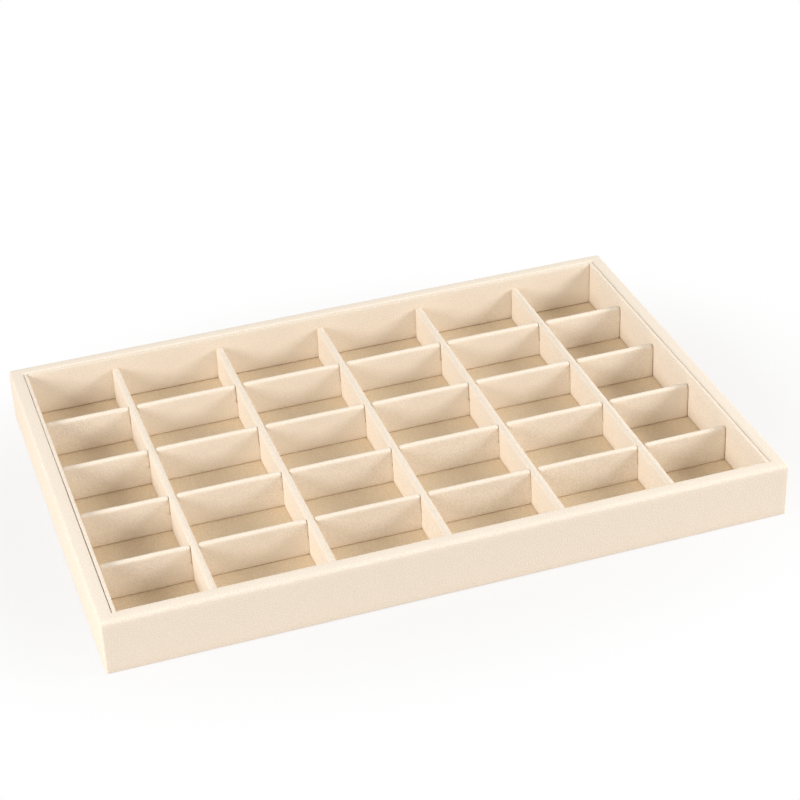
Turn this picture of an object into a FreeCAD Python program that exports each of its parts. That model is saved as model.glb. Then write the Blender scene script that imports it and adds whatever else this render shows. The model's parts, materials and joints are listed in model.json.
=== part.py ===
import FreeCAD, Part
import math
import os
import Sketcher

# Jewelry tray with velvet-covered frame, liners and a cross-lapped grid of dividers.
# Millimetres, +Z up, +X to the right, the origin at the middle of the underside.

COLUMNS = 6
ROWS = 5
TOUCH = 1e-6

# Driving sizes, one cell each
SIZES = {
    # The whole tray, over its velvet
    "tray_width": 350.0,
    "tray_depth": 240.0,
    "tray_height": 30.0,
    # Velvet cloth, wherever it covers a board or a card
    "velvet_thickness": 0.5,
    # Frame rails of board, with their edges eased under the velvet
    "rail_thickness": 6.0,
    "rail_outer_ease": 1.1,
    "rail_inner_ease": 1.0,
    # Base board, the hem that turns under it, and the paper sheet over the hem
    "base_thickness": 1.6,
    "hem_width": 15.0,
    "sheet_thickness": 0.4,
    "sheet_inset": 6.0,
    # Floor card, clear of the frame all round
    "floor_card_thickness": 0.8,
    "floor_clearance": 0.5,
    # Liners that stand on the floor inside the frame
    "liner_card_thickness": 0.8,
    "liner_drop": 0.4,
    "front_liner_drop": 1.6,
    "side_liner_gap": 0.5,
    "end_liner_gap": 0.2,
    "liner_end_clearance": 0.1,
    # Dividers: the long ones run front to back, the cross ones left to right
    "divider_height": 20.4,
    "long_card_thickness": 3.0,
    "cross_card_thickness": 2.2,
    "end_column_width": 45.7,
    "long_end_clearance": 0.5,
    "cross_end_clearance": 0.4,
    # Half-lap slots, wider than what they take, and the round of velvet at a slot's mouth
    "cross_slot_clearance": 0.3,
    "long_slot_clearance": 0.4,
    "lap_clearance": 0.3,
    "slot_mouth_round": 2.2,
    # Eased edge of a card as a share of its thickness, and the reach of a cut past the solid
    "card_ease_share": 0.4,
    "cut_overrun": 1.0,
}

# Sizes that follow from the driving ones
VELVET = "sizes.velvet_thickness"
WALL = "(sizes.rail_thickness + 2 * sizes.velvet_thickness)"
OUTER_ROUND = "(sizes.rail_outer_ease + sizes.velvet_thickness)"
INNER_ROUND = "(sizes.rail_inner_ease + sizes.velvet_thickness)"
CORE_WIDTH = "(sizes.tray_width - 2 * sizes.velvet_thickness)"
CORE_DEPTH = "(sizes.tray_depth - 2 * sizes.velvet_thickness)"
OPENING_WIDTH = f"(sizes.tray_width - 2 * {WALL})"
OPENING_DEPTH = f"(sizes.tray_depth - 2 * {WALL})"
BASE_BOTTOM = "(sizes.sheet_thickness + sizes.velvet_thickness)"
BASE_TOP = f"({BASE_BOTTOM} + sizes.base_thickness)"
RAIL_HEIGHT = f"(sizes.tray_height - sizes.velvet_thickness - {BASE_TOP})"
FLOOR_TOP = f"({BASE_TOP} + sizes.floor_card_thickness + sizes.velvet_thickness)"
LINER_THICKNESS = "(sizes.liner_card_thickness + 2 * sizes.velvet_thickness)"
WELL_DEPTH = f"(sizes.tray_height - {FLOOR_TOP})"
SIDE_LINER_PLACE = f"({OPENING_WIDTH} / 2 - sizes.side_liner_gap - {LINER_THICKNESS} / 2)"
END_LINER_PLACE = f"({OPENING_DEPTH} / 2 - sizes.end_liner_gap - {LINER_THICKNESS} / 2)"
INSIDE_WIDTH = f"(2 * {SIDE_LINER_PLACE} - {LINER_THICKNESS})"
INSIDE_DEPTH = f"(2 * {END_LINER_PLACE} - {LINER_THICKNESS})"
LONG_THICKNESS = "(sizes.long_card_thickness + 2 * sizes.velvet_thickness)"
CROSS_THICKNESS = "(sizes.cross_card_thickness + 2 * sizes.velvet_thickness)"
LONG_LENGTH = f"({INSIDE_DEPTH} - 2 * sizes.long_end_clearance)"
CROSS_LENGTH = f"({INSIDE_WIDTH} - 2 * sizes.cross_end_clearance)"
COLUMN_PITCH = f"(({INSIDE_WIDTH} - 2 * sizes.end_column_width - {LONG_THICKNESS}) / {COLUMNS - 2})"
ROW_PITCH = f"(({INSIDE_DEPTH} + {CROSS_THICKNESS}) / {ROWS})"
LAP_DEPTH = "(sizes.divider_height / 2 + sizes.lap_clearance)"
CROSS_SLOT_WIDTH = f"({LONG_THICKNESS} + 2 * sizes.cross_slot_clearance)"
LONG_SLOT_WIDTH = f"({CROSS_THICKNESS} + 2 * sizes.long_slot_clearance)"
EASED_BY = {"Fillet": "Radius", "Chamfer": "Size"}

doc = FreeCAD.newDocument("jewelry_tray")
sheet = doc.addObject("Spreadsheet::Sheet", "sizes")
for row, (alias, size) in enumerate(SIZES.items(), start=1):
    sheet.set(f"A{row}", alias)
    sheet.set(f"B{row}", str(size))
    sheet.setAlias(f"B{row}", alias)
doc.recompute()

nodes = []


def measure(expression):
    """The number that an expression of the sheet gives now."""
    return float(sheet.evalExpression(str(expression)))


def new_body(name, x="0", y="0", z="0"):
    """An empty body, placed by three expressions."""
    body = doc.addObject("PartDesign::Body", name)
    for axis, place in zip("xyz", (x, y, z)):
        body.setExpression(f"Placement.Base.{axis}", str(place))
    return body


def new_sketch(body, name, role, across, up):
    """An empty sketch on one of the body's origin planes, moved across and up by expressions."""
    plane = next(item for item in body.Origin.OriginFeatures if item.Role == role)
    sketch = body.newObject("Sketcher::SketchObject", name)
    sketch.AttachmentSupport = [(plane, "")]
    sketch.MapMode = "FlatFace"
    sketch.setExpression("AttachmentOffset.Base.x", str(across))
    sketch.setExpression("AttachmentOffset.Base.z", str(up))
    return sketch


def bind(sketch, spans):
    """Adds dimensions to a sketch and ties each one to its expression."""
    for label, expression, kind, *points in spans:
        index = sketch.addConstraint(Sketcher.Constraint(kind, *points, measure(expression)))
        sketch.renameConstraint(index, label)
        sketch.setExpression(f"Constraints.{label}", str(expression))


def rectangle(body, name, length, depth, across="0", up="0"):
    """A sketched rectangle on the body's ground plane."""
    sketch = new_sketch(body, name, "XY_Plane", across, up)
    half_x = measure(length) / 2
    half_y = measure(depth) / 2
    signs = [(-1, -1), (1, -1), (1, 1), (-1, 1)]
    corners = [FreeCAD.Vector(sx * half_x, sy * half_y, 0) for sx, sy in signs]
    for start, end in zip(corners, corners[1:] + corners[:1]):
        sketch.addGeometry(Part.LineSegment(start, end), False)
    for side in range(4):
        sketch.addConstraint(Sketcher.Constraint("Coincident", side, 2, (side + 1) % 4, 1))
        direction = "Vertical" if side % 2 else "Horizontal"
        sketch.addConstraint(Sketcher.Constraint(direction, side))
    sketch.addConstraint(Sketcher.Constraint("Symmetric", 0, 1, 1, 2, -1, 1))
    bind(sketch, (("length", length, "DistanceX", 0, 1, 0, 2), ("depth", depth, "DistanceY", 1, 1, 1, 2)))
    return sketch


def notch(body, name, width, depth, height, mouth, across, rounded):
    """A sketched slot, open at the top of an upright plate, with a rounded or a chamfered mouth."""
    sketch = new_sketch(body, name, "XZ_Plane", across, "0")
    half = measure(width) / 2
    top = measure(height)
    bottom = top - measure(depth)
    flare = measure(mouth)
    shoulder = top - flare

    def line(start, end):
        return Part.LineSegment(FreeCAD.Vector(*start, 0), FreeCAD.Vector(*end, 0))

    def arc(x, first, last):
        circle = Part.Circle(FreeCAD.Vector(x, shoulder, 0), FreeCAD.Vector(0, 0, 1), flare)
        return Part.ArcOfCircle(circle, first, last)

    if rounded:
        right = arc(half + flare, math.pi / 2, math.pi)
        left = arc(-half - flare, 0, math.pi / 2)
        joins = [("Tangent", 1, 2, 2, 2), ("Tangent", 4, 1, 5, 1), ("Vertical", 2, 3, 2, 1)]
        spans = [("mouth", mouth, "Radius", 2)]
    else:
        right = line((half + flare, top), (half, shoulder))
        left = line((-half, shoulder), (-half - flare, top))
        joins = [("Coincident", 1, 2, 2, 2), ("Coincident", 4, 1, 5, 1)]
        spans = [(f"mouth_{way}", mouth, f"Distance{way}", 2, 2, 2, 1) for way in "XY"]
    sketch.addGeometry([
        line((-half, bottom), (half, bottom)),
        line((half, bottom), (half, shoulder)),
        right,
        line((half + flare, top), (-half - flare, top)),
        left,
        line((-half, shoulder), (-half, bottom)),
    ], False)
    joins += [
        ("Coincident", 0, 2, 1, 1), ("Coincident", 2, 1, 3, 1),
        ("Coincident", 3, 2, 4, 2), ("Coincident", 5, 2, 0, 1), ("Vertical", 1),
        ("Symmetric", 0, 1, 0, 2, -2), ("Symmetric", 3, 1, 3, 2, -2), ("Symmetric", 1, 2, 5, 1, -2),
    ]
    for join in joins:
        sketch.addConstraint(Sketcher.Constraint(*join))
    spans += [
        ("width", width, "DistanceX", 0, 1, 0, 2),
        ("depth", depth, "DistanceY", 0, 2, 3, 1),
        ("height", height, "DistanceY", -1, 1, 3, 1),
    ]
    bind(sketch, spans)
    return sketch


def pad(body, name, sketch, height):
    feature = body.newObject("PartDesign::Pad", name)
    feature.Profile = sketch
    feature.setExpression("Length", str(height))
    doc.recompute()
    return feature


def pocket(body, name, sketch, depth, both_ways=False):
    """A cut upwards or, where it says so, both ways from the sketch, which has to take material away."""
    before = body.Shape.Volume
    feature = body.newObject("PartDesign::Pocket", name)
    feature.Profile = sketch
    feature.Reversed = not both_ways
    feature.SideType = "Symmetric" if both_ways else "One side"
    feature.setExpression("Length", str(depth))
    doc.recompute()
    if body.Shape.Volume >= before:
        raise RuntimeError(f"{name} cuts nothing")
    return feature


def ease(body, kind, name, base, wanted, size):
    """Rounds or chamfers the edges of the last feature that the test picks."""
    picked = [f"Edge{number}" for number, edge in enumerate(base.Shape.Edges, start=1) if wanted(edge)]
    feature = body.newObject(f"PartDesign::{kind}", name)
    feature.Base = (base, picked)
    feature.setExpression(EASED_BY[kind], str(size))
    doc.recompute()
    return feature


def upright(edge, top):
    box = edge.BoundBox
    return box.XLength < TOUCH and box.YLength < TOUCH


def along_top(edge, top):
    box = edge.BoundBox
    return abs(box.ZMin - top) < TOUCH and abs(box.ZMax - top) < TOUCH


def long_top(edge, top):
    return along_top(edge, top) and edge.BoundBox.XLength > TOUCH


def upright_or_top(edge, top):
    return upright(edge, top) or along_top(edge, top)


def block(name, length, depth, height, place, wanted=None, kind="Fillet", size=None):
    """A plate, with the edges that the test picks rounded or chamfered."""
    body = new_body(name, *place)
    base = pad(body, f"{name}_pad", rectangle(body, f"{name}_outline", length, depth), height)
    top = measure(height)
    if wanted:
        ease(body, kind, f"{name}_edges", base, lambda edge: wanted(edge, top), size)
    return body


def inside(edge, opening):
    """True for an edge that lies within an opening's outline."""
    box = edge.BoundBox
    far_x = max(abs(box.XMin), abs(box.XMax))
    far_y = max(abs(box.YMin), abs(box.YMax))
    return far_x < measure(opening[0]) / 2 + TOUCH and far_y < measure(opening[1]) / 2 + TOUCH


def rim(name, length, depth, height, place, kind, outer_ease, opening, inner_ease, opening_from):
    """A frame-shaped block: eased outside, with an opening whose top edge is eased too."""
    body = block(name, length, depth, height, place, upright_or_top, kind, outer_ease)
    sketch = rectangle(body, f"{name}_opening", *opening, up=opening_from)
    cut = pocket(body, f"{name}_cut", sketch, f"{height} + sizes.cut_overrun")
    top = measure(height)
    ease(body, kind, f"{name}_inner_edges", cut,
         lambda edge: along_top(edge, top) and inside(edge, opening), inner_ease)
    return body


def boolean(kind, name, base, tool):
    feature = doc.addObject(f"Part::{kind}", name)
    feature.Base = base
    feature.Tool = tool
    doc.recompute()
    return feature


def keep(feature, node):
    """Names a finished piece."""
    feature.Label = node
    nodes.append(feature)
    return feature


def slots(body, name, lap, height, margin, rounded):
    """A row of half-lap slots, from the top or from below; the margin leaves room for velvet in them."""
    reach = f"{lap['pitch']} * {lap['count'] - 1}"
    across = f"{lap['thickness']} + 2 * sizes.cut_overrun"
    first = f"-{reach} / 2"
    width = f"{lap['width']} + 2 * {margin}"
    if lap["from_top"]:
        mouth = f"sizes.slot_mouth_round - {margin}"
        sketch = notch(body, f"{name}_slot", width, LAP_DEPTH, height, mouth, first, rounded)
        cut = pocket(body, f"{name}_slot_cut", sketch, across, both_ways=True)
    else:
        sketch = rectangle(body, f"{name}_slot", width, across, first)
        cut = pocket(body, f"{name}_slot_cut", sketch, f"{LAP_DEPTH} + {margin}")
    row = body.newObject("PartDesign::LinearPattern", f"{name}_slot_row")
    row.Originals = [cut]
    row.Direction = (sketch, ["H_Axis"])
    row.setExpression("Length", reach)
    row.Occurrences = lap["count"]
    body.Tip = row
    doc.recompute()


def covered_card(name, length, thickness, height, place, card_size, eased=None, along_y=False, lap=None):
    """A card with eased edges and the velvet that folds over it, and into its slots where it has them."""
    chamfer = f"sizes.card_ease_share * {card_size}"
    card_height = f"{height} - {VELVET}"
    card = block(f"{name}_card", f"{length} - 2 * {VELVET}", f"{thickness} - 2 * {VELVET}", card_height,
                 place, eased, "Chamfer", chamfer)
    skin = block(f"{name}_skin", length, thickness, height, place, eased, "Fillet", f"{chamfer} + {VELVET}")
    if lap:
        slots(card, f"{name}_card", lap, card_height, VELVET, rounded=False)
        slots(skin, f"{name}_skin", lap, height, "0", rounded=True)
    if along_y:
        for body in (card, skin):
            body.Placement.Rotation = FreeCAD.Rotation(FreeCAD.Vector(0, 0, 1), 90)
    cover = boolean("Cut", f"{name}_cover", skin, card)
    keep(card, f"{name}_card")
    keep(cover, f"{name}_cover")


def frame():
    """Base board, four rails, the velvet over them and the sheet underneath."""
    base_place = ("0", "0", BASE_BOTTOM)
    base = block("base_board", CORE_WIDTH, CORE_DEPTH, "sizes.base_thickness", base_place,
                 upright, "Chamfer", "sizes.rail_outer_ease")
    core_opening = (f"{OPENING_WIDTH} + 2 * {VELVET}", f"{OPENING_DEPTH} + 2 * {VELVET}")
    core = rim("rail_core", CORE_WIDTH, CORE_DEPTH, RAIL_HEIGHT, ("0", "0", BASE_TOP), "Chamfer",
               "sizes.rail_outer_ease", core_opening, "sizes.rail_inner_ease", "0")
    keep(base, "base_board")
    rails(core)
    wrap_height = "(sizes.tray_height - sizes.sheet_thickness)"
    wrap_place = ("0", "0", "sizes.sheet_thickness")
    wrap = rim("wrap", "sizes.tray_width", "sizes.tray_depth", wrap_height, wrap_place, "Fillet",
               OUTER_ROUND, (OPENING_WIDTH, OPENING_DEPTH), INNER_ROUND, VELVET)
    hem_opening = ("sizes.tray_width - 2 * sizes.hem_width", "sizes.tray_depth - 2 * sizes.hem_width")
    hem = rectangle(wrap, "wrap_hem", *hem_opening)
    pocket(wrap, "wrap_hem_cut", hem, f"{VELVET} + sizes.cut_overrun")
    hollow = boolean("Cut", "wrap_over_rails", wrap, core)
    keep(boolean("Cut", "frame_wrap", hollow, base), "frame_cover")
    underside = block("underside", "sizes.tray_width - 2 * sizes.sheet_inset",
                      "sizes.tray_depth - 2 * sizes.sheet_inset", "sizes.sheet_thickness", ("0", "0", "0"))
    keep(underside, "underside_sheet")


def rails(core):
    """The front and back rails run the full width, and the side rails stand between them."""
    strip = f"(sizes.rail_thickness + {VELVET})"
    between = f"(sizes.tray_depth - 2 * {strip})"
    places = {
        "front": ("sizes.tray_width", strip, "-sizes.tray_width / 2", "-sizes.tray_depth / 2"),
        "back": ("sizes.tray_width", strip, "-sizes.tray_width / 2", f"sizes.tray_depth / 2 - {strip}"),
        "left": (strip, between, "-sizes.tray_width / 2", f"-{between} / 2"),
        "right": (strip, between, f"sizes.tray_width / 2 - {strip}", f"-{between} / 2"),
    }
    for side, (length, width, x, y) in places.items():
        span = doc.addObject("Part::Box", f"{side}_span")
        span.setExpression("Length", length)
        span.setExpression("Width", width)
        span.setExpression("Height", "sizes.tray_height")
        span.setExpression("Placement.Base.x", x)
        span.setExpression("Placement.Base.y", y)
        keep(boolean("Common", f"{side}_strip", core, span), f"{side}_rail")


def floor():
    """The floor card lies on the base inside the frame, under its own velvet."""
    length = f"({OPENING_WIDTH} - 2 * sizes.floor_clearance)"
    depth = f"({OPENING_DEPTH} - 2 * sizes.floor_clearance)"
    height = f"(sizes.floor_card_thickness + {VELVET})"
    covered_card("floor", length, depth, height, ("0", "0", BASE_TOP), "sizes.floor_card_thickness")


def liners():
    """The side liners run the full depth, the front and back liners fit between them, the front one lower."""
    side_length = f"({OPENING_DEPTH} - 2 * sizes.liner_end_clearance)"
    end_length = f"({INSIDE_WIDTH} - 2 * sizes.liner_end_clearance)"
    rows = (
        ("left_liner", side_length, "liner_drop", f"-{SIDE_LINER_PLACE}", "0", True),
        ("right_liner", side_length, "liner_drop", SIDE_LINER_PLACE, "0", True),
        ("front_liner", end_length, "front_liner_drop", "0", f"-{END_LINER_PLACE}", False),
        ("back_liner", end_length, "liner_drop", "0", END_LINER_PLACE, False),
    )
    for name, length, drop, x, y, along_y in rows:
        covered_card(name, length, LINER_THICKNESS, f"({WELL_DEPTH} - sizes.{drop})", (x, y, FLOOR_TOP),
                     "sizes.liner_card_thickness", long_top, along_y)


def divider_grid():
    """Long dividers drop over the cross dividers: each pair meets in two half-height slots."""
    long_lap = {"width": LONG_SLOT_WIDTH, "pitch": ROW_PITCH, "count": ROWS - 1, "from_top": False,
                "thickness": LONG_THICKNESS}
    for number in range(1, COLUMNS):
        x = f"({number} - {COLUMNS} / 2) * {COLUMN_PITCH}"
        covered_card(f"long_divider_{number}", LONG_LENGTH, LONG_THICKNESS, "sizes.divider_height",
                     (x, "0", FLOOR_TOP), "sizes.long_card_thickness", upright_or_top, True, long_lap)
    cross_lap = {"width": CROSS_SLOT_WIDTH, "pitch": COLUMN_PITCH, "count": COLUMNS - 1, "from_top": True,
                 "thickness": CROSS_THICKNESS}
    for number in range(1, ROWS):
        y = f"({ROWS} / 2 - {number}) * {ROW_PITCH}"
        covered_card(f"cross_divider_{number}", CROSS_LENGTH, CROSS_THICKNESS, "sizes.divider_height",
                     ("0", y, FLOOR_TOP), "sizes.cross_card_thickness", along_top, False, cross_lap)


frame()
floor()
liners()
divider_grid()
doc.recompute()

for item in doc.Objects:
    if "Invalid" in item.State or "Error" in item.State:
        raise RuntimeError(f"{item.Name} failed: {item.State}")
for node in nodes:
    if node.Shape.isNull() or not node.Shape.isValid() or len(node.Shape.Solids) != 1:
        raise RuntimeError(f"{node.Label} is not one valid solid")

os.makedirs("parts", exist_ok=True)
for node in nodes:
    node.Shape.exportStep(f"parts/{node.Label}.step")
    box = node.Shape.BoundBox
    print(f"{node.Label}: {node.Shape.Volume:.1f} mm3, x {box.XMin:.2f} to {box.XMax:.2f}, "
          f"y {box.YMin:.2f} to {box.YMax:.2f}, z {box.ZMin:.2f} to {box.ZMax:.2f}")
print(f"{len(nodes)} pieces, column pitch {measure(COLUMN_PITCH):.2f}, row pitch {measure(ROW_PITCH):.2f}")
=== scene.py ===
# %% [markdown]
# # A velvet display tray with thirty compartments
# The tray is a shallow frame of board strips wrapped in cream velvet. A velvet-covered card is its
# floor, and four liners and a grid of slotted dividers stand on it, each a card in a folded velvet
# sleeve. The boards and cards are already exact solids, so this lesson sews the velvet: it models every
# cover as cloth with its own thickness, gives each surface its finish, and lights the tray as a small
# studio would.

# %% Load the frame
import json
import math

import bmesh
import bpy
from mathutils import Matrix, Vector


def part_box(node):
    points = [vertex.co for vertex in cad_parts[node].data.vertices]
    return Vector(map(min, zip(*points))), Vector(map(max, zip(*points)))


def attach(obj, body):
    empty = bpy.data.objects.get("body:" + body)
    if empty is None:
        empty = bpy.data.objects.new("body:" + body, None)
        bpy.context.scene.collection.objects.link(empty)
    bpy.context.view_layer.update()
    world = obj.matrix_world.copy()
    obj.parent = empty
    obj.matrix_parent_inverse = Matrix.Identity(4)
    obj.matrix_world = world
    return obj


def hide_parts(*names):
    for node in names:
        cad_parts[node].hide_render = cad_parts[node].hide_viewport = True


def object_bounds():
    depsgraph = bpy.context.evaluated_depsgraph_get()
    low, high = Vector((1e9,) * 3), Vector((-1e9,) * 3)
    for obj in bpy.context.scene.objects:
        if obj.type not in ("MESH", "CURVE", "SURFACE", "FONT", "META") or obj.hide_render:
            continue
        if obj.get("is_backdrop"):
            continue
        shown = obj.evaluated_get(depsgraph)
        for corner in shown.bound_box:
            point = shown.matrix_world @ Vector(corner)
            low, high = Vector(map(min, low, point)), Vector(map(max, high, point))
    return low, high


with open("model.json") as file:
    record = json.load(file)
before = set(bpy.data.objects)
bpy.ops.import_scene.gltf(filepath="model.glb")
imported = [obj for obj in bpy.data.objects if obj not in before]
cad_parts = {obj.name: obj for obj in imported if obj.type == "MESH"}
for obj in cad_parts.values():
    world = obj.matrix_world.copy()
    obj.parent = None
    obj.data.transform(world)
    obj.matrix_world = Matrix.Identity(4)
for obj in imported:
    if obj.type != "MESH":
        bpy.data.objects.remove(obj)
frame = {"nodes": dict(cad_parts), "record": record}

MM = 0.001
TINY = 0.01 * MM
cad_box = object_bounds()
tray_span = cad_box[1] - cad_box[0]
print("tray size in mm:", [round(span / MM, 1) for span in tray_span])

# %% [markdown]
# ## Helpers for modelling by hand
# Modelling in edit mode is always the same three moves: choose something, do something to it, look at
# the result. With no mouse, the choosing is done in code, by where an edge or a face lies and which way
# it points. These helpers keep the later cells short.

# %% Helpers for choosing
LEVEL = 0.9


def start(name):
    """Name the primitive that was just added and open it for editing."""
    piece = bpy.context.object
    piece.name = name
    piece.data.name = name
    bpy.ops.object.transform_apply(location=True, rotation=True, scale=True)
    bpy.ops.object.mode_set(mode="EDIT")
    return piece


def pick(piece, kind, wanted):
    """In edit mode, select the verts, edges or faces that pass a test, and say how many did."""
    bpy.ops.mesh.select_all(action="DESELECT")
    bpy.context.tool_settings.mesh_select_mode = [kind == word for word in ("verts", "edges", "faces")]
    mesh = bmesh.from_edit_mesh(piece.data)
    chosen = [item for item in getattr(mesh, kind) if wanted(item)]
    for item in chosen:
        item.select_set(True)
    mesh.select_flush_mode()
    bmesh.update_edit_mesh(piece.data)
    return len(chosen)


def looks_up(face):
    """True for a level face that looks up."""
    return face.normal.z > LEVEL


def looks_down(face):
    """True for a level face that looks down."""
    return face.normal.z < -LEVEL


def outer_edge(edge, angle=60):
    """True for an edge where two faces turn outwards by more than an angle in degrees."""
    return len(edge.link_faces) == 2 and edge.is_convex and edge.calc_face_angle() > math.radians(angle)


print("a face counts as level within", round(math.degrees(math.acos(LEVEL))), "degrees")

# %% Helpers for shaping
FOLD_STEPS = 4


def slice_at(axis, places):
    """Cut the whole mesh with planes square to an axis, as a ruler and a knife would."""
    for place in places:
        bpy.ops.mesh.select_all(action="SELECT")
        normal = Vector((axis == "X", axis == "Y", axis == "Z"))
        bpy.ops.mesh.bisect(plane_co=normal * place, plane_no=normal)


def steps(low, high, length):
    """Places between two ends, evenly spaced and about a length apart."""
    count = max(1, round((high - low) / length))
    return [low + (high - low) * index / count for index in range(1, count)]


def apply_modifier(piece, kind, **settings):
    """Add a modifier with its settings and apply it at once."""
    bpy.context.view_layer.objects.active = piece
    modifier = piece.modifiers.new(kind.title(), kind)
    for name, value in settings.items():
        setattr(modifier, name, value)
    bpy.ops.object.modifier_apply(modifier=modifier.name)


def fold_edges(piece, width, folds):
    """Round groups of edges in one go: each group has a share of the width and a test for its edges."""
    for share, wanted in folds:
        if pick(piece, "edges", wanted):
            bpy.ops.transform.edge_bevelweight(value=share)
    bpy.ops.object.mode_set(mode="OBJECT")
    apply_modifier(piece, "BEVEL", width=width, segments=FOLD_STEPS, limit_method="WEIGHT",
                   use_clamp_overlap=False)
    bpy.ops.object.mode_set(mode="EDIT")


print("each fold is rounded in", FOLD_STEPS, "steps")

# %% [markdown]
# ## How cloth differs from card
# Velvet that is glued over a card never lies as flat as the card does: it bulges by a tenth of a
# millimetre here and there, and a long sleeve bows a little. Cloud textures push the meshes about by
# those amounts. They read the place of each point, so two copies of a sleeve never bulge alike. A bulge
# goes mostly outwards, because the card is in the way, and a bow goes as far to one side as to the other.

# %% Cloth thickness and unevenness
VELVET = 0.5 * MM
CLOTH_GRID = 2.5 * MM
BULGE_SIZE = 14 * MM
BOW_SIZE = 90 * MM
MOSTLY_OUTWARDS = 0.35
BOTH_WAYS = 0.5
SOFT_ANGLE = math.radians(50)


def clouds(name, size):
    """A soft cloud texture whose lumps are about a size across."""
    texture = bpy.data.textures.new(name, type="CLOUDS")
    texture.noise_scale = size
    texture.noise_depth = 1
    return texture


bulges = clouds("glue_bulges", BULGE_SIZE)
bows = clouds("sleeve_bows", BOW_SIZE)


def make_cloth(piece, bulge, bow_axis=None, bow=0.0, thickness=VELVET):
    """Bulge and bow a finished skin, give it the cloth's thickness inwards, and smooth its shading."""
    bpy.ops.object.mode_set(mode="OBJECT")
    apply_modifier(piece, "DISPLACE", texture=bulges, texture_coords="LOCAL", strength=bulge,
                   mid_level=MOSTLY_OUTWARDS)
    if bow_axis:
        apply_modifier(piece, "DISPLACE", texture=bows, texture_coords="LOCAL", direction=bow_axis,
                       strength=bow, mid_level=BOTH_WAYS)
    apply_modifier(piece, "SOLIDIFY", thickness=thickness, offset=-1, use_even_offset=False)
    bpy.ops.object.select_all(action="DESELECT")
    piece.select_set(True)
    bpy.ops.object.shade_smooth_by_angle(angle=SOFT_ANGLE)
    print(piece.name, len(piece.data.polygons), "faces")


print("unevenness:", bulges.name, "and", bows.name)

# %% [markdown]
# ## A velvet sleeve
# A divider is a strip of card in a folded sleeve of velvet. One could start from a block and cut the
# slots away with booleans, but a flat outline is easier to control: a plane is sliced at the slots, the
# slot faces are deleted, and the corners of each slot's mouth are rounded. Pulling the outline back by
# the thickness makes front, back and edges, a bevel turns the folds over softly, and slicing the result
# into an even net lets the cloth bulge later.

# %% A function that sews one sleeve
SLOT_FOLD = 0.25 * MM
LOWER_FOLD = 0.6 * MM
MOUTH_STEPS = 5


def sew_sleeve(name, length, thickness, height, fold, end_share=1.0,
               slots=(), slot_width=0.0, slot_reach=0.0, mouth=0.0):
    """Model one sleeve along X, standing on the ground at the origin, open along its lower edge.

    Slots come from above where they have a rounded mouth, and from below where they have none.
    """
    bpy.ops.object.select_all(action="DESELECT")
    bpy.ops.mesh.primitive_plane_add(
        size=1, location=(0, -thickness / 2, height / 2), rotation=(math.pi / 2, 0, 0))
    bpy.context.object.scale = (length, height, 1)
    piece = start(name)
    slot_end = height - slot_reach if mouth else slot_reach
    if slots:
        slice_at("X", [middle + side * slot_width / 2 for middle in slots for side in (-1, 1)])
        slice_at("Z", [slot_end])

    def in_slot(face):
        """True for a face of the outline that a slot takes away."""
        middle = face.calc_center_median()
        beside = any(abs(middle.x - slot) < slot_width / 2 for slot in slots)
        return beside and (middle.z > slot_end) == (mouth > 0)

    def top_corner(vert):
        """True for a corner of the outline's upper edge."""
        return vert.co.z > height - TINY

    def on_top(edge):
        """True for the folds over the top and round the mouths of the slots."""
        return outer_edge(edge) and min(vert.co.z for vert in edge.verts) > height - mouth - TINY

    def at_bottom(edge):
        """True for the folds along the lower edge."""
        return outer_edge(edge) and max(vert.co.z for vert in edge.verts) < TINY

    def at_end(edge):
        """True for the folds round the two ends."""
        return outer_edge(edge) and min(abs(vert.co.x) for vert in edge.verts) > length / 2 - TINY

    if pick(piece, "faces", in_slot):
        bpy.ops.mesh.delete(type="FACE")
    if mouth:
        pick(piece, "verts", top_corner)
        bpy.ops.mesh.bevel(offset=mouth, segments=MOUTH_STEPS, affect="VERTICES", clamp_overlap=False)
    bpy.ops.mesh.select_all(action="SELECT")
    bpy.ops.mesh.extrude_region_move(TRANSFORM_OT_translate={"value": (0, thickness, 0)})
    bpy.ops.mesh.select_all(action="SELECT")
    bpy.ops.mesh.normals_make_consistent(inside=False)
    fold_edges(piece, fold, (
        (SLOT_FOLD / fold, lambda edge: outer_edge(edge) and not on_top(edge) and not at_end(edge)),
        (end_share, at_end),
        (1.0, lambda edge: on_top(edge) and not (end_share < 1 and at_end(edge))),
        (LOWER_FOLD / fold, at_bottom)))
    pick(piece, "faces", lambda face: looks_down(face) and face.calc_center_median().z < TINY)
    bpy.ops.mesh.delete(type="FACE")
    slice_at("X", steps(-length / 2, length / 2, CLOTH_GRID))
    slice_at("Z", steps(0, height, CLOTH_GRID))
    bpy.ops.object.mode_set(mode="OBJECT")
    return piece


print("sleeve pattern ready")

# %% [markdown]
# ## Copies of a pattern
# Five long dividers are alike, and so are the four cross dividers. A pattern is modelled once, and each
# copy gets a mesh of its own, is carried to its place and only then made into cloth, so that every copy
# has its own bulges. The piece then takes over from the plain solid that held its place.

# %% A function that lays out one copy


def lay_out(pattern, name, place, along_y=False, turn=0.0):
    """Copy a pattern, put the copy where it belongs and leave its place in its mesh."""
    bpy.ops.object.select_all(action="DESELECT")
    pattern.select_set(True)
    bpy.context.view_layer.objects.active = pattern
    bpy.ops.object.duplicate()
    piece = bpy.context.object
    piece.name = name
    piece.data.name = name
    piece.location = place
    piece.rotation_euler.z = (math.pi / 2 if along_y else 0) + turn
    bpy.ops.object.transform_apply(location=True, rotation=True, scale=True)
    return piece


def body_of_node(node):
    """The body of the tray that a node belongs to."""
    bodies = frame["record"]["behaviour"]["bodies"]
    return next(body for body, members in bodies.items() if node in members)


velvets = []


def take_over(piece, node):
    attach(piece, body_of_node(node))
    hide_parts(node)
    velvets.append(piece)


print("copying ready")

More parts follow.
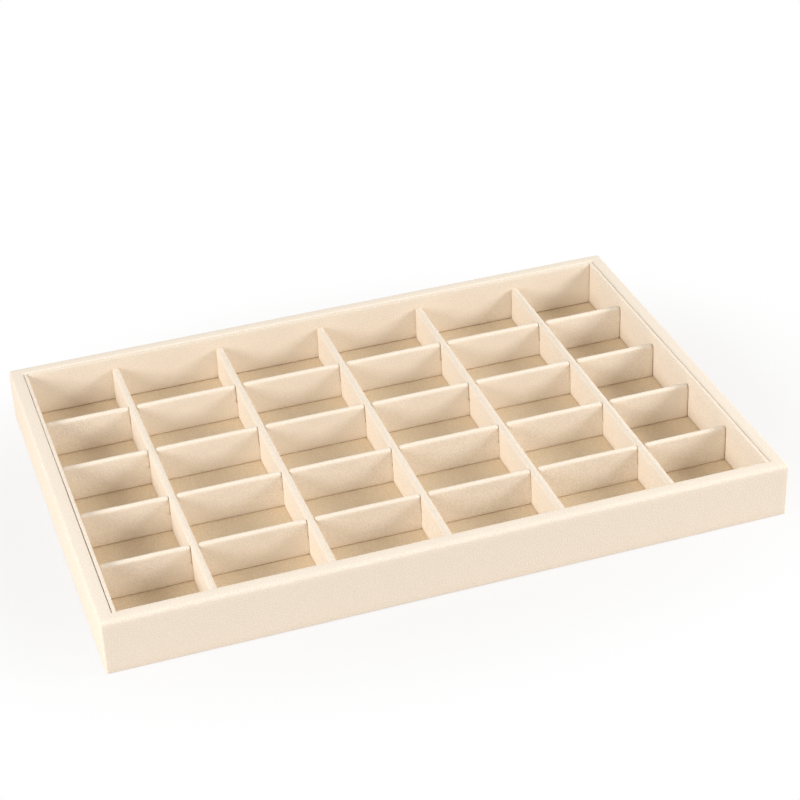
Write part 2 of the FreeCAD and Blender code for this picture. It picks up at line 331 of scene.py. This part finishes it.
# %% [markdown]
# ## Long dividers
# Each long divider runs from front to back and is slotted from below, so that it drops over the four
# cross dividers. Its sleeve is cut as one strip, folded over the top of the card, with the ends tucked
# round. The folded top is nearly half a circle, and that soft edge is what catches the light.

# %% Places of the grid
LONG_NODES = [f"long_divider_{number}" for number in range(1, 6)]
CROSS_NODES = [f"cross_divider_{number}" for number in range(1, 5)]

long_boxes = [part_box(f"{node}_cover") for node in LONG_NODES]
cross_boxes = [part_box(f"{node}_cover") for node in CROSS_NODES]
long_size = long_boxes[0][1] - long_boxes[0][0]
cross_size = cross_boxes[0][1] - cross_boxes[0][0]
grid_floor = long_boxes[0][0].z
long_places = [(low.x + high.x) / 2 for low, high in long_boxes]
cross_places = [(low.y + high.y) / 2 for low, high in cross_boxes]
print("long dividers at x", [round(place / MM, 1) for place in long_places])
print("cross dividers at y", [round(place / MM, 1) for place in cross_places])

# %% Long dividers
LAP_ROOM = 0.1 * MM
DIVIDER_BULGE = 0.2 * MM
LONG_FOLD = 1.9 * MM
LONG_BOW = 0.4 * MM
LONG_RAISE = 0.05 * MM
LONG_SLOT_ROOM = 0.3 * MM

long_pattern = sew_sleeve(
    "long_pattern", long_size.y, long_size.x, long_size.z - LONG_RAISE, fold=LONG_FOLD,
    slots=cross_places, slot_width=cross_size.y + 2 * LONG_SLOT_ROOM,
    slot_reach=long_size.z / 2 + LAP_ROOM - LONG_RAISE)
for node, place in zip(LONG_NODES, long_places):
    sleeve = lay_out(long_pattern, f"{node}_velvet", (place, 0, grid_floor + LONG_RAISE), along_y=True)
    make_cloth(sleeve, bulge=DIVIDER_BULGE, bow_axis="X", bow=LONG_BOW)
    take_over(sleeve, f"{node}_cover")
bpy.data.objects.remove(long_pattern)

# %% [markdown]
# ## Cross dividers
# The cross dividers run from left to right and are slotted from above. Their slots are a little wider
# than the long dividers, and the velvet rolls over the mouth of each slot, which leaves the small dark
# slit that one sees at every crossing. The sleeve stands just clear of the floor, and its rounded lower
# fold leaves a thin dark crease there. At its ends, which are nearly square, the pile brushes the liners.

# %% Cross dividers
SQUARE_END = 0.2
CROSS_FOLD = 1.5 * MM
CROSS_BOW = 0.5 * MM
CROSS_RAISE = 0.05 * MM
CROSS_PILE = 0.2 * MM
CROSS_SLOT_ROOM = 0.15 * MM
CROSS_MOUTH = 1.8 * MM

cross_pattern = sew_sleeve(
    "cross_pattern", cross_size.x + 2 * CROSS_PILE, cross_size.y, cross_size.z - CROSS_RAISE,
    fold=CROSS_FOLD, end_share=SQUARE_END,
    slots=long_places, slot_width=long_size.x + 2 * CROSS_SLOT_ROOM,
    slot_reach=cross_size.z / 2 + LAP_ROOM, mouth=CROSS_MOUTH)
for node, place in zip(CROSS_NODES, cross_places):
    sleeve = lay_out(cross_pattern, f"{node}_velvet", (0, place, grid_floor + CROSS_RAISE))
    make_cloth(sleeve, bulge=DIVIDER_BULGE, bow_axis="Y", bow=CROSS_BOW)
    take_over(sleeve, f"{node}_cover")
bpy.data.objects.remove(cross_pattern)

# %% [markdown]
# ## Liners
# Four thin liners stand round the inside of the frame and hide its raw inner faces. They are sleeves
# with no slots. The side liners stand a little off the frame, and the gap shows as a dark line along
# the rim. The left one stands slightly askew, so that its gap narrows towards the back. The same sewing
# pattern serves, with a much thinner card.

# %% Liners
LINER_FOLD = 0.8 * MM
LINER_BULGE = 0.08 * MM
SIDE_LINER_BOW = 0.2 * MM
END_LINER_BOW = 0.1 * MM
LINER_RAISE = 0.1 * MM
# How far a liner stands to the right of its place, and how far it is turned, in radians.
LINER_STANDS = {"left_liner": (-0.2 * MM, 0.001), "right_liner": (0.05 * MM, 0.0)}


def sew_liners(names, along_y, bow_axis, bow):
    """Sew the liners of one size and stand them in their places."""
    boxes = [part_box(f"{name}_cover") for name in names]
    size = boxes[0][1] - boxes[0][0]
    length, thickness = (size.y, size.x) if along_y else (size.x, size.y)
    pattern = sew_sleeve("liner_pattern", length, thickness, size.z - LINER_RAISE,
                         fold=LINER_FOLD, end_share=SQUARE_END)
    for name, (low, high) in zip(names, boxes):
        middle = (low + high) / 2
        aside, turn = LINER_STANDS.get(name, (0.0, 0.0))
        place = (middle.x + aside, middle.y, low.z + LINER_RAISE)
        liner = lay_out(pattern, f"{name}_velvet", place, along_y, turn)
        make_cloth(liner, bulge=LINER_BULGE, bow_axis=bow_axis, bow=bow)
        take_over(liner, f"{name}_cover")
    bpy.data.objects.remove(pattern)


sew_liners(("left_liner", "right_liner"), True, "X", SIDE_LINER_BOW)
sew_liners(("front_liner",), False, "Y", END_LINER_BOW)
sew_liners(("back_liner",), False, "Y", END_LINER_BOW)

# %% [markdown]
# ## The frame's wrap
# One strip of velvet covers the whole frame: up the outside, over the rim, down the inside, and turned
# under the base as a hem. A block is the quickest start. Insetting its top face and pushing the middle
# down opens the tray, and the same inset underneath leaves only the hem. Bevels round the board's edges.

# %% Frame wrap, opened from a block
RIM_WIDTH = 7 * MM
HEM_WIDTH = 15 * MM

wrap_low, wrap_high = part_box("frame_cover")
wrap_size = wrap_high - wrap_low
board_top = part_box("base_board")[1].z
bpy.ops.object.select_all(action="DESELECT")
bpy.ops.mesh.primitive_cube_add(size=1, location=(wrap_low + wrap_high) / 2)
bpy.context.object.scale = wrap_size
wrap = start("frame_velvet")
pick(wrap, "faces", looks_up)
bpy.ops.mesh.inset(thickness=RIM_WIDTH, depth=0)
bpy.ops.mesh.extrude_region_move(TRANSFORM_OT_translate={"value": (0, 0, board_top - wrap_high.z)})
bpy.ops.mesh.delete(type="FACE")
pick(wrap, "faces", looks_down)
bpy.ops.mesh.inset(thickness=HEM_WIDTH, depth=0)
bpy.ops.mesh.delete(type="FACE")
print("wrap opened", round((wrap_high.z - board_top) / MM, 1), "mm deep")

# %% Frame wrap, folded over the boards
WRAP_GRID = 4 * MM
WRAP_BULGE = 0.07 * MM
TOP_FOLD = 2.0 * MM
CORNER_FOLD = 1.3 * MM
INNER_FOLD = 0.8 * MM
HEM_FOLD = 0.5 * MM


def on_outside(edge):
    """True for an edge on the outer faces of the wrap."""
    middle = (edge.verts[0].co + edge.verts[1].co) / 2
    return max(abs(middle.x) - wrap_size.x / 2, abs(middle.y) - wrap_size.y / 2) > -TINY


def low_edge(edge):
    """True for an edge that the tray stands on."""
    return max(vert.co.z for vert in edge.verts) < wrap_low.z + TINY


def standing(edge):
    """True for an edge that runs up a corner."""
    return abs(edge.verts[0].co.z - edge.verts[1].co.z) > TINY


def along_rim(edge):
    """True for a level edge on the outside, above the ground."""
    return outer_edge(edge) and on_outside(edge) and not low_edge(edge) and not standing(edge)


fold_edges(wrap, TOP_FOLD, (
    (1.0, along_rim),
    (CORNER_FOLD / TOP_FOLD, lambda edge: outer_edge(edge) and on_outside(edge) and standing(edge)),
    (INNER_FOLD / TOP_FOLD, lambda edge: outer_edge(edge) and not on_outside(edge)),
    (HEM_FOLD / TOP_FOLD, lambda edge: outer_edge(edge) and low_edge(edge))))
for index, axis in enumerate("XYZ"):
    slice_at(axis, steps(wrap_low[index], wrap_high[index], WRAP_GRID))
make_cloth(wrap, bulge=WRAP_BULGE)
take_over(wrap, "frame_cover")

# %% [markdown]
# ## The floor
# A card with velvet glued on top lies loose inside the frame. A grid gives the cloth its net of faces,
# the border is pulled down over the edge of the card, and the cloud texture presses shallow hollows
# into it, because cloth that dries on a card is never quite level. Its pile is pressed thin.

# %% Floor cloth
FLOOR_VELVET = 0.35 * MM
FLOOR_FOLD = 0.4 * MM
FLOOR_FOLD_STEPS = 2
FLOOR_HOLLOW = -0.1 * MM

floor_low, floor_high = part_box("floor_cover")
floor_size = floor_high - floor_low
bpy.ops.object.select_all(action="DESELECT")
bpy.ops.mesh.primitive_grid_add(
    x_subdivisions=round(floor_size.x / CLOTH_GRID), y_subdivisions=round(floor_size.y / CLOTH_GRID),
    size=1, location=(0, 0, floor_high.z))
bpy.context.object.scale = (floor_size.x, floor_size.y, 1)
floor_cloth = start("floor_velvet")
pick(floor_cloth, "edges", lambda edge: edge.is_boundary)
bpy.ops.mesh.extrude_edges_move(TRANSFORM_OT_translate={"value": (0, 0, floor_low.z - floor_high.z)})
bpy.ops.mesh.select_all(action="SELECT")
bpy.ops.mesh.normals_make_consistent(inside=False)
pick(floor_cloth, "edges", outer_edge)
bpy.ops.mesh.bevel(offset=FLOOR_FOLD, segments=FLOOR_FOLD_STEPS, profile=0.5, affect="EDGES",
                   clamp_overlap=False)
make_cloth(floor_cloth, bulge=FLOOR_HOLLOW, thickness=FLOOR_VELVET)
take_over(floor_cloth, "floor_cover")

# %% [markdown]
# ## Making finishes
# Every finish is built from nodes, so it works at any size and needs no picture. Colours are written as
# the hex values that one would read off a sample, and one function turns them into the linear light that
# the renderer counts in. Pattern sizes are written in millimetres and turned into scales.

# %% Helpers for finishes


def colour(hex_code):
    """Linear RGBA of an sRGB hex colour."""
    channels = [int(hex_code[place:place + 2], 16) / 255 for place in (1, 3, 5)]
    linear = [value / 12.92 if value <= 0.04045 else ((value + 0.055) / 1.055) ** 2.4
              for value in channels]
    return (*linear, 1.0)


def per_mm(size):
    """Texture scale whose features are about a size in millimetres."""
    return 1 / (size * MM)


def add(tree, kind, sockets=None, **settings):
    """Add a node, set its properties, and set its sockets or link other nodes' outputs into them."""
    made = tree.nodes.new(kind)
    for name, value in settings.items():
        setattr(made, name, value)
    for name, value in (sockets or {}).items():
        if isinstance(value, bpy.types.NodeSocket):
            tree.links.new(value, made.inputs[name])
        else:
            made.inputs[name].default_value = value
    return made


def new_finish(name):
    """A new material, with its tree, its surface shader and the place of each point."""
    material = bpy.data.materials.new(name)
    material.use_nodes = True
    tree = material.node_tree
    place = add(tree, "ShaderNodeTexCoord").outputs["Object"]
    return material, tree, tree.nodes["Principled BSDF"], place


print("finish helpers ready")

# %% [markdown]
# ## Cream velvet
# Short-pile velvet: cut cotton loops that stand up about half a millimetre from a woven ground. The tips
# scatter light, so the cloth is matt with a pale sheen where one looks along it. Brushing leaves marks a
# few millimetres long, lighter and darker, and the tips themselves give a fine grain. Real pile is about
# 0.2 mm apart, too fine for the picture, so the grain is drawn at about 0.6 mm. The floor's velvet is
# the same cloth in a darker, more saturated tone: painted shade for the floors deep in the compartments.

# %% Cream velvet
# Each layer of the grain has a label, a size in millimetres, a detail and a weight in the tone.
GRAIN = (
    ("pile", 0.6, 0.0, 1.35),
    ("brushed flecks", 2.5, 2.0, 0.06),
    ("worn patches", 40.0, 1.0, 0.06),
)
PILE_RELIEF = 0.3 * MM


def velvet_finish(name, light, dark):
    """Velvet whose grain runs between a light and a dark tone."""
    material, tree, shader, place = new_finish(name)
    tone = 0.5 - sum(weight for *_, weight in GRAIN) / 2
    for label, size, detail, weight in GRAIN:
        noise = add(tree, "ShaderNodeTexNoise",
                    {"Vector": place, "Scale": per_mm(size), "Detail": detail}, label=label)
        tone = add(tree, "ShaderNodeMath", {0: noise.outputs["Fac"], 1: weight, 2: tone},
                   operation="MULTIPLY_ADD").outputs[0]
    cloth = add(tree, "ShaderNodeMix", {"Factor": tone, 6: colour(dark), 7: colour(light)},
                data_type="RGBA")
    bump = add(tree, "ShaderNodeBump", {"Height": tone, "Strength": 0.3, "Distance": PILE_RELIEF})
    tree.links.new(cloth.outputs[2], shader.inputs["Base Color"])
    tree.links.new(bump.outputs["Normal"], shader.inputs["Normal"])
    shader.inputs["Roughness"].default_value = 0.95
    shader.inputs["Specular IOR Level"].default_value = 0.0
    shader.inputs["Sheen Weight"].default_value = 0.1
    shader.inputs["Sheen Roughness"].default_value = 0.5
    shader.inputs["Sheen Tint"].default_value = colour("#FFEBD0")
    return material


cream_velvet = velvet_finish("cream_velvet", "#FBF0E1", "#E8D9C5")
# A darker, more saturated copy of the velvet for the floor cloth: painted shade on the compartment floors.
painted_shade_floor_velvet = velvet_finish("cream_velvet_painted_floor_shade", "#ECDABE", "#D8C2A2")
for piece in velvets:
    piece.data.materials.clear()
    piece.data.materials.append(painted_shade_floor_velvet if piece == floor_cloth else cream_velvet)
print("velvet on", len(velvets), "pieces")

# %% [markdown]
# ## Boards, cards and paper
# What the velvet hides is still there when a divider is lifted or the tray is turned over. The rails and
# base are medium-density fibreboard, pressed from fine wood fibres. The cards are greyboard, made from
# recycled paper with darker flecks. The underside is closed with a sheet of off-white kraft paper. All
# three are dull pressed fibre, so one function makes them, with flecks of their own size and stretch.

# %% Boards, cards and paper
FIBRE_RELIEF = 0.1 * MM


def fibre_finish(name, light, dark, fleck_mm, stretch, roughness):
    """Pressed fibre with flecks of a size between a light and a dark tone."""
    material, tree, shader, place = new_finish(name)
    stretched = add(tree, "ShaderNodeMapping", {"Vector": place, "Scale": stretch}).outputs["Vector"]
    fibres = add(tree, "ShaderNodeTexNoise",
                 {"Vector": stretched, "Scale": per_mm(fleck_mm), "Detail": 4.0, "Roughness": 0.6})
    spread = add(tree, "ShaderNodeMapRange",
                 {"Value": fibres.outputs["Fac"], "From Min": 0.35, "From Max": 0.65})
    tone = add(tree, "ShaderNodeMix",
               {"Factor": spread.outputs["Result"], 6: colour(dark), 7: colour(light)}, data_type="RGBA")
    bump = add(tree, "ShaderNodeBump",
               {"Height": fibres.outputs["Fac"], "Strength": 0.3, "Distance": FIBRE_RELIEF})
    tree.links.new(tone.outputs[2], shader.inputs["Base Color"])
    tree.links.new(bump.outputs["Normal"], shader.inputs["Normal"])
    shader.inputs["Roughness"].default_value = roughness
    return material


fibreboard = fibre_finish("fibreboard", "#C9A877", "#AE8A5B", 0.8, (1, 1, 2), 0.8)
greyboard = fibre_finish("greyboard", "#C9B799", "#AD9878", 1.2, (1, 1, 1), 0.9)
kraft_paper = fibre_finish("off_white_kraft_paper", "#EFE8DB", "#E0D6C5", 1.5, (1, 2.5, 1), 0.85)
for name, solid in frame["nodes"].items():
    if name.endswith("_cover"):
        continue
    backing = greyboard if name.endswith("_card") else fibreboard
    solid.data.materials.clear()
    solid.data.materials.append(kraft_paper if name == "underside_sheet" else backing)
print("finishes on", len(frame["nodes"]) - len(velvets), "boards, cards and sheets")

# %% [markdown]
# ## Studio floor
# The tray stands on a wide sheet of white paper. The camera, or a mirror or a glass, sees that paper as
# plain white, and the tray gets only the light that the paper's own matt shade throws back. Close to the
# tray a quarter of the matt shade is mixed into the white, which keeps the tray's soft shadow, and
# further out the mixture fades to white.

# %% Studio floor
SWEEP_SIZE = 8.0
NEAR_GLOW = 0.75
SHADOW_REACH = 1.75

bpy.ops.object.select_all(action="DESELECT")
bpy.ops.mesh.primitive_plane_add(size=SWEEP_SIZE, location=(0, 0, cad_box[0].z))
sweep = bpy.context.object
sweep.name = "white_sweep"
bpy.ops.object.transform_apply(location=True, rotation=True, scale=True)
sweep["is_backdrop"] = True
paper = bpy.data.materials.new("white_sweep_paper")
paper.use_nodes = True
paper_tree = paper.node_tree
paper_tree.nodes.clear()
rays = add(paper_tree, "ShaderNodeLightPath")
seen = rays.outputs["Is Camera Ray"]
for ray in ("Is Glossy Ray", "Is Transmission Ray"):
    seen = add(paper_tree, "ShaderNodeMath", {0: seen, 1: rays.outputs[ray]},
               operation="MAXIMUM").outputs[0]

# %% Shadow round the tray
# Distances from the tray's middle are squeezed sideways, because the tray is wider than it is deep.
half_depth = tray_span.y / 2
ground = add(paper_tree, "ShaderNodeTexCoord").outputs["Object"]
squeezed = add(paper_tree, "ShaderNodeMapping",
               {"Vector": ground, "Scale": (tray_span.y / tray_span.x, 1, 1)}).outputs["Vector"]
away = add(paper_tree, "ShaderNodeVectorMath", {0: squeezed}, operation="LENGTH").outputs["Value"]
white = add(paper_tree, "ShaderNodeMapRange",
            {"Value": away, "From Min": half_depth, "From Max": SHADOW_REACH * half_depth,
             "To Min": NEAR_GLOW, "To Max": 1.0}, interpolation_type="SMOOTHSTEP").outputs["Result"]
share = add(paper_tree, "ShaderNodeMath", {0: seen, 1: white}, operation="MULTIPLY").outputs[0]
matt = add(paper_tree, "ShaderNodeBsdfDiffuse", {"Color": colour("#DCD7D3")})
glow = add(paper_tree, "ShaderNodeEmission", {"Color": colour("#FFFFFF"), "Strength": 1.0})
mixed = add(paper_tree, "ShaderNodeMixShader", {0: share, 1: matt.outputs[0], 2: glow.outputs[0]})
add(paper_tree, "ShaderNodeOutputMaterial", {"Surface": mixed.outputs[0]})
sweep.data.materials.append(paper)
print("shadow fades out", round((SHADOW_REACH - 1) * half_depth / MM), "mm in front of the tray")

# %% [markdown]
# ## Room and soft boxes
# A white room fills the shadows from all sides. Two large square lamps, low on the left and on the right,
# give every compartment its pair of soft shadows. Directions are given as an angle round the tray, from
# its front, and an angle above the table, and one function serves for the lamps and for the camera.

# %% Room and soft boxes
ROOM_LIGHT = 0.49
LAMP_DISTANCE = 1.6
LAMP_SIZE = 0.6
# Angle round the tray and above the table, in degrees, and power in watts.
SOFT_BOXES = {"left_soft_box": (-71, 26, 15.7), "right_soft_box": (69, 29, 16.7)}


def direction(azimuth, elevation):
    """A step of length one from the tray, by two angles in degrees."""
    across = math.cos(math.radians(elevation))
    return Vector((across * math.sin(math.radians(azimuth)), -across * math.cos(math.radians(azimuth)),
                   math.sin(math.radians(elevation))))


room = bpy.data.worlds.new("white_room")
room.use_nodes = True
bpy.context.scene.world = room
room.node_tree.nodes["Background"].inputs["Color"].default_value = colour("#FFFFFF")
room.node_tree.nodes["Background"].inputs["Strength"].default_value = ROOM_LIGHT
for name, (azimuth, elevation, power) in SOFT_BOXES.items():
    lamp = bpy.data.lights.new(name, "AREA")
    lamp.size = LAMP_SIZE
    lamp.energy = power
    box = bpy.data.objects.new(name, lamp)
    bpy.context.scene.collection.objects.link(box)
    towards = direction(azimuth, elevation)
    box.location = towards * LAMP_DISTANCE
    box.rotation_euler = towards.to_track_quat("Z", "Y").to_euler()
print("lamps:", [lamp.name for lamp in bpy.data.lights])

# %% [markdown]
# ## Camera
# The view is from the front left, about a third of the way up, with a long lens and the camera tipped a
# little to one side. The lens follows from the picture's size and how strongly the tray tapers in it.

# %% Camera
PICTURE_PIXELS = 800
FOCAL_PIXELS = 2129.4
SENSOR = 36.0
NEAREST = 0.05
AZIMUTH = -17.53
ELEVATION = 32.14
ROLL = math.radians(-2.39)
DISTANCE = 1.1533
TARGET = Vector((0.0215, 0.0333, 0.015))

lens = bpy.data.cameras.new("studio_camera")
lens.sensor_width = SENSOR
lens.lens = FOCAL_PIXELS / PICTURE_PIXELS * SENSOR
lens.clip_start = NEAREST
camera = bpy.data.objects.new("studio_camera", lens)
bpy.context.scene.collection.objects.link(camera)
back = direction(AZIMUTH, ELEVATION)
sideways = Vector((0, 0, 1)).cross(back).normalized()
upright = back.cross(sideways)
right = math.cos(ROLL) * sideways + math.sin(ROLL) * upright
top = -math.sin(ROLL) * sideways + math.cos(ROLL) * upright
axes = Matrix((right, top, back)).transposed().to_4x4()
camera.matrix_world = Matrix.Translation(TARGET + DISTANCE * back) @ axes
bpy.context.scene.camera = camera
bpy.context.scene.view_settings.view_transform = "Standard"
print("lens", round(lens.lens, 1), "mm")

# %% [markdown]
# ## Sizes
# Cloth may bulge, but the tray has to keep its real size. The box of the exact solids and the box of
# what is seen now are kept side by side, and the size that is seen is printed.

# %% Sizes side by side
sizes = {"cad": [list(corner) for corner in cad_box], "visual": [list(corner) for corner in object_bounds()]}
seen_low, seen_high = (Vector(corner) for corner in sizes["visual"])
print("visual size in mm:", [round(span / MM, 2) for span in seen_high - seen_low])
